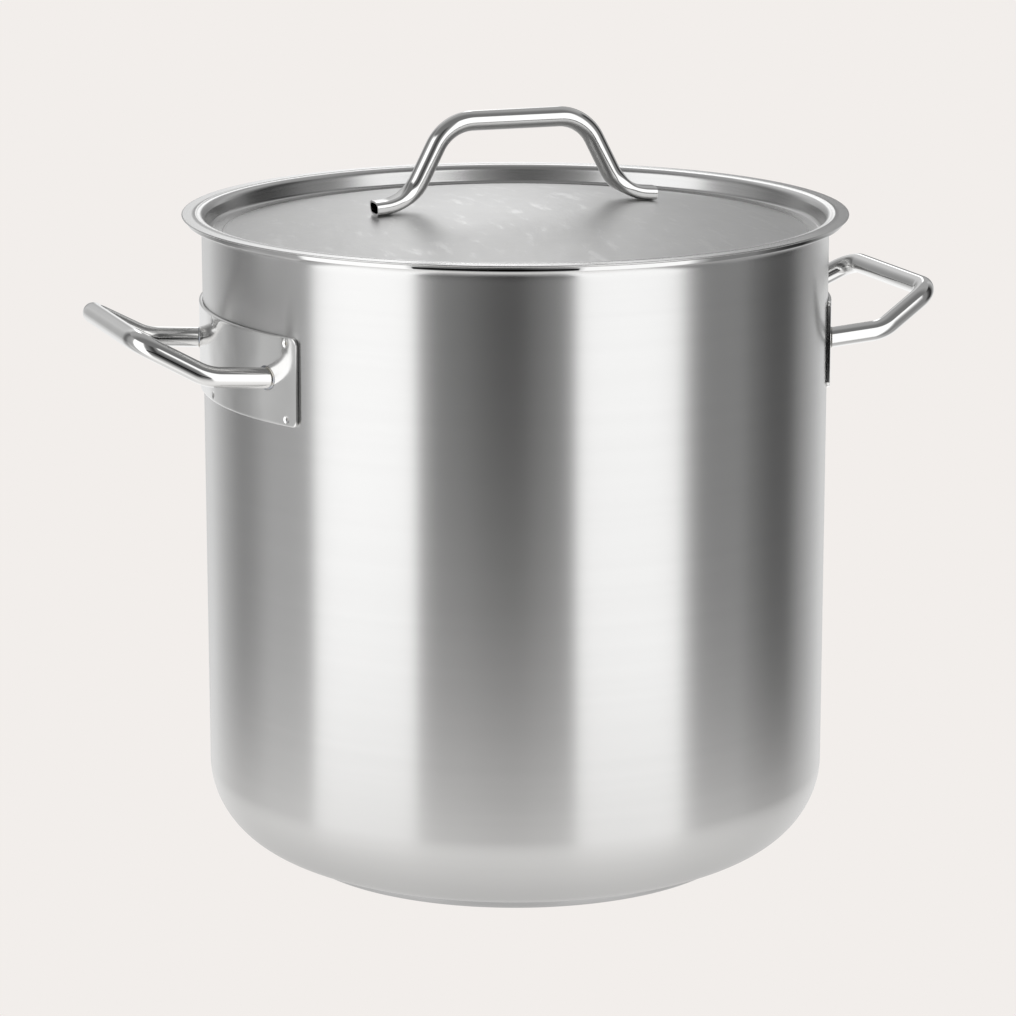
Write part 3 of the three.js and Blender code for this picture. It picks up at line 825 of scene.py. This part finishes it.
plate_half_height = (plate_high.z - plate_low.z) / 2
plate_back = plate_radius - 2 * MM
spot_along = np.array([-1, 0, 1]) * (PLATE_HALF_LENGTH - SPOT_END)
spot_up = np.array([-1, 1]) * (plate_half_height - SPOT_EDGE)


def close_to(places, reach, fine, half, coarse):
    """Places from -half to half: coarse apart, but fine within reach of each given place."""
    steps = [np.arange(p - reach, p + reach + fine / 2, fine) for p in places]
    far = np.linspace(-half, half, int(round(2 * half / coarse)) + 1)
    far = far[np.all(np.abs(far[:, None] - places[None]) > reach + coarse / 4, axis=1)]
    every = np.unique(np.round(np.concatenate([*steps, far, [-half, half]]), 7))
    return every[np.abs(every) <= half]


def pressed_spots(along, up):
    """Depth of the marks: a flat-bottomed dip whose side is a half wave of a cosine."""
    depth = np.zeros(np.broadcast(along, up).shape)
    for a in spot_along:
        for u in spot_up:
            far = np.hypot(along - a, up - u)
            share = np.clip((SPOT_REACH - far) / (SPOT_REACH * 0.5), 0, 1)
            depth = np.maximum(depth, SPOT_DEPTH * (1 - np.cos(pi * share)) / 2)
    return depth


def plate_sheet():
    """Front, edge and back of the plate as one closed grid of rows, capped at both short ends.

    A point a along and u up, at radius r, goes to (r cos(a / R), r sin(a / R), z + u)."""
    reach = SPOT_REACH + 0.4 * MM
    a = close_to(spot_along, reach, 0.42 * MM, PLATE_HALF_LENGTH - PLATE_EDGE, 2.5 * MM)
    u = close_to(spot_up, reach, 0.42 * MM, plate_half_height, 3 * MM)
    corner = np.sin(np.linspace(0, pi / 2, 10)[1:-1]) * PLATE_CORNER
    ends = PLATE_HALF_LENGTH - PLATE_CORNER + corner
    tips = [-PLATE_HALF_LENGTH, PLATE_HALF_LENGTH]
    a = np.unique(np.concatenate([a, ends, -ends, tips]))[:, None]
    past = np.clip(np.abs(a) - (PLATE_HALF_LENGTH - PLATE_CORNER), 0, PLATE_CORNER)
    height = plate_half_height - PLATE_CORNER + np.sqrt(PLATE_CORNER**2 - past**2)
    turn = np.linspace(0, pi / 2, 5)[1:]
    inset = np.minimum(PLATE_EDGE, np.maximum(PLATE_HALF_LENGTH - np.abs(a), 0) + 0.05 * MM)
    front = u / plate_half_height * (height - inset)
    dip = pressed_spots(a, front)
    edge_u = (height - inset) + inset * np.sin(turn)
    edge_r = plate_radius - inset * (1 - np.cos(turn))
    rows = [front, edge_u, edge_u[:, -1:], -edge_u[:, -1:], -edge_u[:, ::-1]]
    backs = np.full_like(a, plate_back)
    radii = [plate_radius - dip, edge_r, backs, backs, edge_r[:, ::-1]]
    up, radius = np.concatenate(rows, axis=1), np.concatenate(radii, axis=1)
    angle = a / plate_radius
    points = np.stack([radius * np.cos(angle), radius * np.sin(angle), plate_z + up], axis=-1)
    points = points[:, ::-1]
    rows, columns = points.shape[:2]
    faces = grid_faces(rows, columns, close_columns=True).tolist()
    first = list(range(columns))
    last = [(rows - 1) * columns + j for j in range(columns)]
    return points, [*faces, first[::-1], last]


# %% [markdown]
# ## The spot-weld marks
# At the bottom of each dip the steel was fused, which leaves a small round button, raised a
# little in its middle and duller than the plate. All six of a plate are one piece.

# %% Spot-weld marks
MARK_SIDES = 24
# distance from the mark's middle, and height above the plate's face before it was pressed in
MARK_PROFILE = [(0.05, -0.36), (0.5, -0.37), (0.9, -0.40), (1.25, -0.44), (1.5, -0.6)]


def spot_marks():
    """Six low buttons, each a disc whose middle is slightly raised."""
    angle = np.linspace(0, 2 * pi, MARK_SIDES, endpoint=False)[::-1]
    profile = np.array(MARK_PROFILE) * MM
    points, faces = [], []
    for a in spot_along:
        for u in spot_up:
            first = sum(len(p) for p in points)
            along = a + profile[:, :1] * np.cos(angle)
            up = plate_z + u + profile[:, :1] * np.sin(angle)
            radius = plate_radius + profile[:, 1:] + 0 * along
            turn = along / plate_radius
            ring = np.stack([radius * np.cos(turn), radius * np.sin(turn), up], axis=-1)
            rows = len(profile)
            faces += grid_faces(rows, MARK_SIDES, close_columns=True, first=first).tolist()
            rim = first + (rows - 1) * MARK_SIDES
            faces.append([first + j for j in range(MARK_SIDES)][::-1])
            faces.append([rim + j for j in range(MARK_SIDES)])
            points.append(ring.reshape(-1, 3))
    return np.concatenate(points), faces


# %% [markdown]
# ## Placing the side handles
# Every piece of a handle is made on the +X side. The left handle is the same set of points
# turned half a turn about Z, which keeps the faces outward.

# %% Both side handles
for side_name, place in (("right", lambda p: p), ("left", turned_round)):
    tube_points, tube_faces = loop_tube()
    loop = piece(f"{side_name}_loop", place(tube_points), tube_faces, TUBE_FINISH)
    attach(loop, "pot")
    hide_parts(f"{side_name}_handle_tube")

    sheet_points, sheet_faces = plate_sheet()
    plate = piece(f"{side_name}_plate", place(sheet_points), sheet_faces, PLATE_FINISH_PAINTED_BRIGHT)
    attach(plate, "pot")
    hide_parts(f"{side_name}_handle_plate")

    mark_points, mark_faces = spot_marks()
    marks = piece(f"{side_name}_spot_marks", place(mark_points), mark_faces, WELD_FINISH)
    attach(marks, "pot")
    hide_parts(*[f"{side_name}_spot_weld_{k}" for k in range(1, 7)])

    for number, leg in ((1, -1), (2, 1)):
        ring_points, ring_faces = weld_ring(leg)
        ring = piece(f"{side_name}_leg_weld_{number}", place(ring_points), ring_faces, WELD_FINISH)
        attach(ring, "pot")
        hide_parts(f"{side_name}_weld_bead_{number}")

# %% [markdown]
# ## The lid's handle
# The lid's handle is the same kind of tube, but its ends are pressed flat where they are welded
# to the dome. The ring changes from a circle to a flat oval along the last stretch. A
# superellipse does both: with the exponent at 2 it is a circle, and as the exponent grows its
# faces flatten. The width grows as the height shrinks, because the tube's girth stays the same.

# %% Lid handle
GRIP_SIDES = 48
OVAL_SQUARE = 1.4  # how much the oval's exponent is above the circle's 2
OVAL_STRETCH = 1.05
GRIP_TUBE = 6.4 * MM
GRIP_WALL = 1.2 * MM
GRIP_BAR_HEIGHT = 52.6 * MM
GRIP_BAR_HALF = 46 * MM
GRIP_FOOT_HALF = 72 * MM
GRIP_FOOT_LENGTH = 23 * MM
GRIP_FOOT_THICK = 9 * MM
GRIP_PRESSED = 17 * MM
GRIP_BLEND = 15 * MM
GRIP_UPPER_BEND = 28 * MM
GRIP_LOWER_BEND = 30 * MM

foot_middle = GRIP_FOOT_HALF + GRIP_FOOT_LENGTH / 2
foot_slope = -2 * LID_RISE * foot_middle / dome_radius**2
foot_tilt = atan(foot_slope)


def foot_line(x):
    """Height of the pressed foot's centre line, which lies along the dome's tangent."""
    lift = (GAP + GRIP_FOOT_THICK / 2) / cos(foot_tilt)
    return dome_height(foot_middle) + lift + foot_slope * (x - foot_middle)


def section(angle, radius, thick, amount):
    """A ring between a circle and a flat oval, as (side, up) for each angle.

    side = width * sign(cos a) * |cos a| ^ (2 / n) and up likewise with sin a, where n is 2 for
    the circle and 3.4 for the oval, and the oval's width keeps the circle's girth."""
    wide = radius + (pi / 4) * (radius - thick / 2) * OVAL_STRETCH
    power = 2 / (2 + OVAL_SQUARE * amount)
    width = radius + (wide - radius) * amount
    height = radius + (thick / 2 - radius) * amount
    c, s = np.cos(angle), np.sin(angle)
    return width * np.sign(c) * np.abs(c) ** power, height * np.sign(s) * np.abs(s) ** power


def lid_grip():
    """The bent tube with its two pressed, open feet.

    A point of it is the line's point + side * sideways + up * upwards, from the section."""
    end = GRIP_FOOT_HALF + GRIP_FOOT_LENGTH * cos(foot_tilt)
    bar_z = lid_crown + GRIP_BAR_HEIGHT
    foot = (GRIP_FOOT_HALF, foot_line(GRIP_FOOT_HALF))
    half = [(end, foot_line(end)), foot, (GRIP_BAR_HALF, bar_z)]
    corners = [np.array([-x, 0, z]) for x, z in half] + [np.array([x, 0, z]) for x, z in half[::-1]]
    bends = [GRIP_LOWER_BEND, GRIP_UPPER_BEND, GRIP_UPPER_BEND, GRIP_LOWER_BEND]
    line, ways = bent_line(corners, bends, 22)
    line, ways, at = refined(line, ways, 2 * MM)
    sides, ups = carried_axes(ways, (0, 1, 0))
    from_end = np.minimum(at, at[-1] - at)[:, None]
    share = np.clip((from_end - GRIP_PRESSED) / GRIP_BLEND, 0, 1)
    amount = 1 - share * share * (3 - 2 * share)
    angle = np.linspace(0, 2 * pi, GRIP_SIDES, endpoint=False)[None]
    surfaces = []
    for inset in (0.0, GRIP_WALL):
        side, up = section(angle, GRIP_TUBE - inset, GRIP_FOOT_THICK - 2 * inset, amount)
        across = side[..., None] * sides[:, None] + up[..., None] * ups[:, None]
        surfaces.append(line[:, None] + across)
    return hollow(*surfaces)


grip = piece("lid_grip", *lid_grip(), TUBE_FINISH)
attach(grip, "lid")
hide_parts("lid_handle")

for node_name in ("lid_weld_left", "lid_weld_right"):
    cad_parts[node_name].data.materials[0] = WELD_FINISH

# %% [markdown]
# ## The studio
# Bare steel has almost no colour of its own: what is seen is the room. So the room is drawn
# with care, as a picture by direction. Seen from the pot, there is a tall bright panel on each
# side of the camera, a dark gap between them, and darker gaps further round. Behind the pot a
# screen lights the lid from the back. A glowing table top lies under the pot, with a painted
# shadow round the pot's foot. The camera itself sees a plain pale ground in every direction.

# %% Camera
CAMERA_TURN = radians(-20.5)
CAMERA_TILT = radians(13.12)
CAMERA_AWAY = 2.574
CAMERA_HEIGHT = 0.823
CAMERA_LENS = 144.25
CAMERA_SHIFT = -0.0072

camera_data = bpy.data.cameras.new("camera")
camera_data.sensor_width = 36
camera_data.lens = CAMERA_LENS
camera_data.shift_x = CAMERA_SHIFT
camera = bpy.data.objects.new("camera", camera_data)
camera.location = (CAMERA_AWAY * sin(CAMERA_TURN), -CAMERA_AWAY * cos(CAMERA_TURN), CAMERA_HEIGHT)
camera.rotation_euler = (pi / 2 - CAMERA_TILT, 0, CAMERA_TURN)
bpy.context.scene.collection.objects.link(camera)
bpy.context.scene.camera = camera

# %% [markdown]
# ## The room's light
# The light round the pot is a colour ramp over the angle about Z, in a frame turned with the
# camera. A ramp's greys stop at 1 and the panels are brighter, so it holds a part of each level
# and a multiplication brings the rest back.

# %% Room light by direction
GROUND = (0.888, 0.855, 0.831)
ROUND_STOPS = [
    (-180, 0.88), (-150, 0.7), (-136, 0.41), (-122, 0.17), (-112, 0.22), (-103, 0.38), (-94, 0.42),
    (-80, 0.52), (-77, 1.5), (-38, 1.5), (-34, 0.56), (-29, 0.28), (-19, 0.22), (-12, 0.13),
    (-4, 0.07), (2, 0.07), (8, 0.2), (17, 0.31), (20, 0.46), (24, 1.45), (61, 1.45), (66, 0.66),
    (71, 0.3), (90, 0.27), (97, 0.14), (107, 0.05), (119, 0.03), (129, 0.26), (142, 0.52),
    (155, 0.76), (180, 0.88),
]
RAMP_TOP = 2
OVERHEAD = 0.22
OVERHEAD_BEHIND = 0.45
BEHIND_LEFT = 1.72
BEHIND_RIGHT = 0.4
BEHIND_FADE = 1.1
BELT_DEPTH = 0.96
PATCH_LIGHT = 0.1
LOW_LIGHT = 0.36


def studio():
    """A world lit by direction.

    A ramp round the pot gives the panels and the gaps. Above about 40 degrees it gives way to a dim
    ceiling. Straight behind the pot, above the horizon, one screen is bright on its left half. Just
    below the horizon, where no panel hangs, a dark belt runs round the room."""
    world = bpy.data.worlds.new("studio")
    f = Graph(world)
    at = f.node("ShaderNodeTexCoord", output="Generated")
    x, y, z = f.apart(at)
    c, s = cos(CAMERA_TURN), sin(CAMERA_TURN)
    right = x * c + y * s
    front = x * s - y * c
    around = right.math("ARCTAN2", right, front) * (180 / pi)
    stops = [(angle / 360 + 0.5, level / RAMP_TOP) for angle, level in ROUND_STOPS]
    ramp = f.node("ShaderNodeValToRGB", {"stops": stops}, {"Fac": around / 360 + 0.5})
    level = ramp * RAMP_TOP
    belt = z.step(-0.34, -0.22) * z.step(-0.10, -0.134) * level.step(1.0, 0.8)
    belt = belt * abs(around).step(60, 40)
    level = level * (1 - belt * BELT_DEPTH)
    patch = abs(around + 128).step(40, 24) * z.step(-0.34, -0.28) * z.step(-0.10, -0.16)
    level = level + patch * PATCH_LIGHT
    level = level + z.step(-0.15, -0.5) * abs(around).step(80, 105) * LOW_LIGHT
    screen = abs(around).step(146, 158) * z.step(-0.10, -0.02)
    shade = BEHIND_RIGHT + right.step(0.06, 0.01) * (BEHIND_LEFT - BEHIND_RIGHT)
    shade = shade - right.step(-0.03, -0.12) * BEHIND_FADE
    shade = shade * (0.6 + z.step(0.0, 0.5) * 0.62)
    level = level * (1 - screen) + shade * screen
    overhead = z.step(0.60, 0.70)
    ceiling = OVERHEAD_BEHIND + front.step(-0.4, 0.2) * (OVERHEAD - OVERHEAD_BEHIND)
    light = level * (1 - overhead) + overhead * ceiling
    shown = f.node("ShaderNodeBackground", None, {"Color": (*GROUND, 1), "Strength": 1.0})
    lit = f.node("ShaderNodeBackground", None, {"Color": f.grey(light), "Strength": 1.0})
    ray = f.node("ShaderNodeLightPath", output="Is Camera Ray")
    both = f.node("ShaderNodeMixShader", None, {0: ray, 1: lit, 2: shown})
    f.node("ShaderNodeOutputWorld", None, {"Surface": both})
    bpy.context.scene.world = world


studio()
bpy.context.scene.view_settings.view_transform = "Standard"

# %% [markdown]
# ## Floor and table
# The floor that the camera sees is one flat pale tone with no horizon. What the steel reflects
# is a glowing table top of limited size, so the lower part of the pot is lit from below and the
# dark streaks fade towards the base, as they do on a real table. A painted shadow darkens its
# glow under the pot.

# %% Stage
TABLE_BRIGHT = 1.04
TABLE_REACH = 0.75
TABLE_NEAR = 0.12
TABLE_AHEAD = 0.17
TABLE_ASIDE = 0.04
TABLE_HEIGHT = -0.0004
FLOOR_RADIUS = 60
FLOOR_HEIGHT = -0.0005
DISC_SIDES = 96


def floor_tone():
    """The pale ground that the camera sees, the same all over."""
    material = bpy.data.materials.new("pale_floor")
    f = Graph(material)
    glow = f.node("ShaderNodeEmission", None, {"Color": (*GROUND, 1), "Strength": 1.0})
    f.node("ShaderNodeOutputMaterial", None, {"Surface": glow})
    return material


def table_glow():
    """Painted light from a glowing table top, which falls off from a middle in front of the pot.

    The middle lies TABLE_AHEAD towards the camera and TABLE_ASIDE to its left. Between TABLE_NEAR
    and TABLE_REACH from it the light falls to nothing. Under and round the pot the glow is turned
    down to paint the pot's shadow on the table."""
    material = bpy.data.materials.new("table_painted_glow")
    f = Graph(material)
    x, y, _ = f.axes()
    under = (x * x + y * y) ** 0.5
    c, s = cos(CAMERA_TURN), sin(CAMERA_TURN)
    middle = (TABLE_AHEAD * s - TABLE_ASIDE * c, -TABLE_AHEAD * c - TABLE_ASIDE * s, 0)
    x, y, _ = f.axes(middle)
    away = (x * x + y * y) ** 0.5
    # painted shadow: the table's glow is turned down under and round the pot
    strength = TABLE_BRIGHT * (0.7 + under.step(base_radius, base_radius * 2) * 0.3)
    glow = f.node("ShaderNodeEmission", None, {"Color": (1, 0.99, 0.98, 1), "Strength": strength})
    clear = f.node("ShaderNodeBsdfTransparent")
    share = away.step(TABLE_REACH, TABLE_NEAR)
    both = f.node("ShaderNodeMixShader", None, {0: share, 1: clear, 2: glow})
    f.node("ShaderNodeOutputMaterial", None, {"Surface": both})
    return material


def disc(name, radius, height, material):
    """A flat round sheet."""
    a = np.linspace(0, 2 * pi, DISC_SIDES, endpoint=False)
    ring = np.stack([radius * np.cos(a), radius * np.sin(a), np.full(DISC_SIDES, height)], axis=1)
    return piece(name, ring, [list(range(DISC_SIDES))], material)


floor = disc("floor", FLOOR_RADIUS, FLOOR_HEIGHT, floor_tone())
floor.visible_glossy = False
floor.visible_diffuse = False
floor.visible_shadow = False
table = disc("table", TABLE_REACH + TABLE_AHEAD + TABLE_ASIDE, TABLE_HEIGHT, table_glow())
table.visible_camera = False
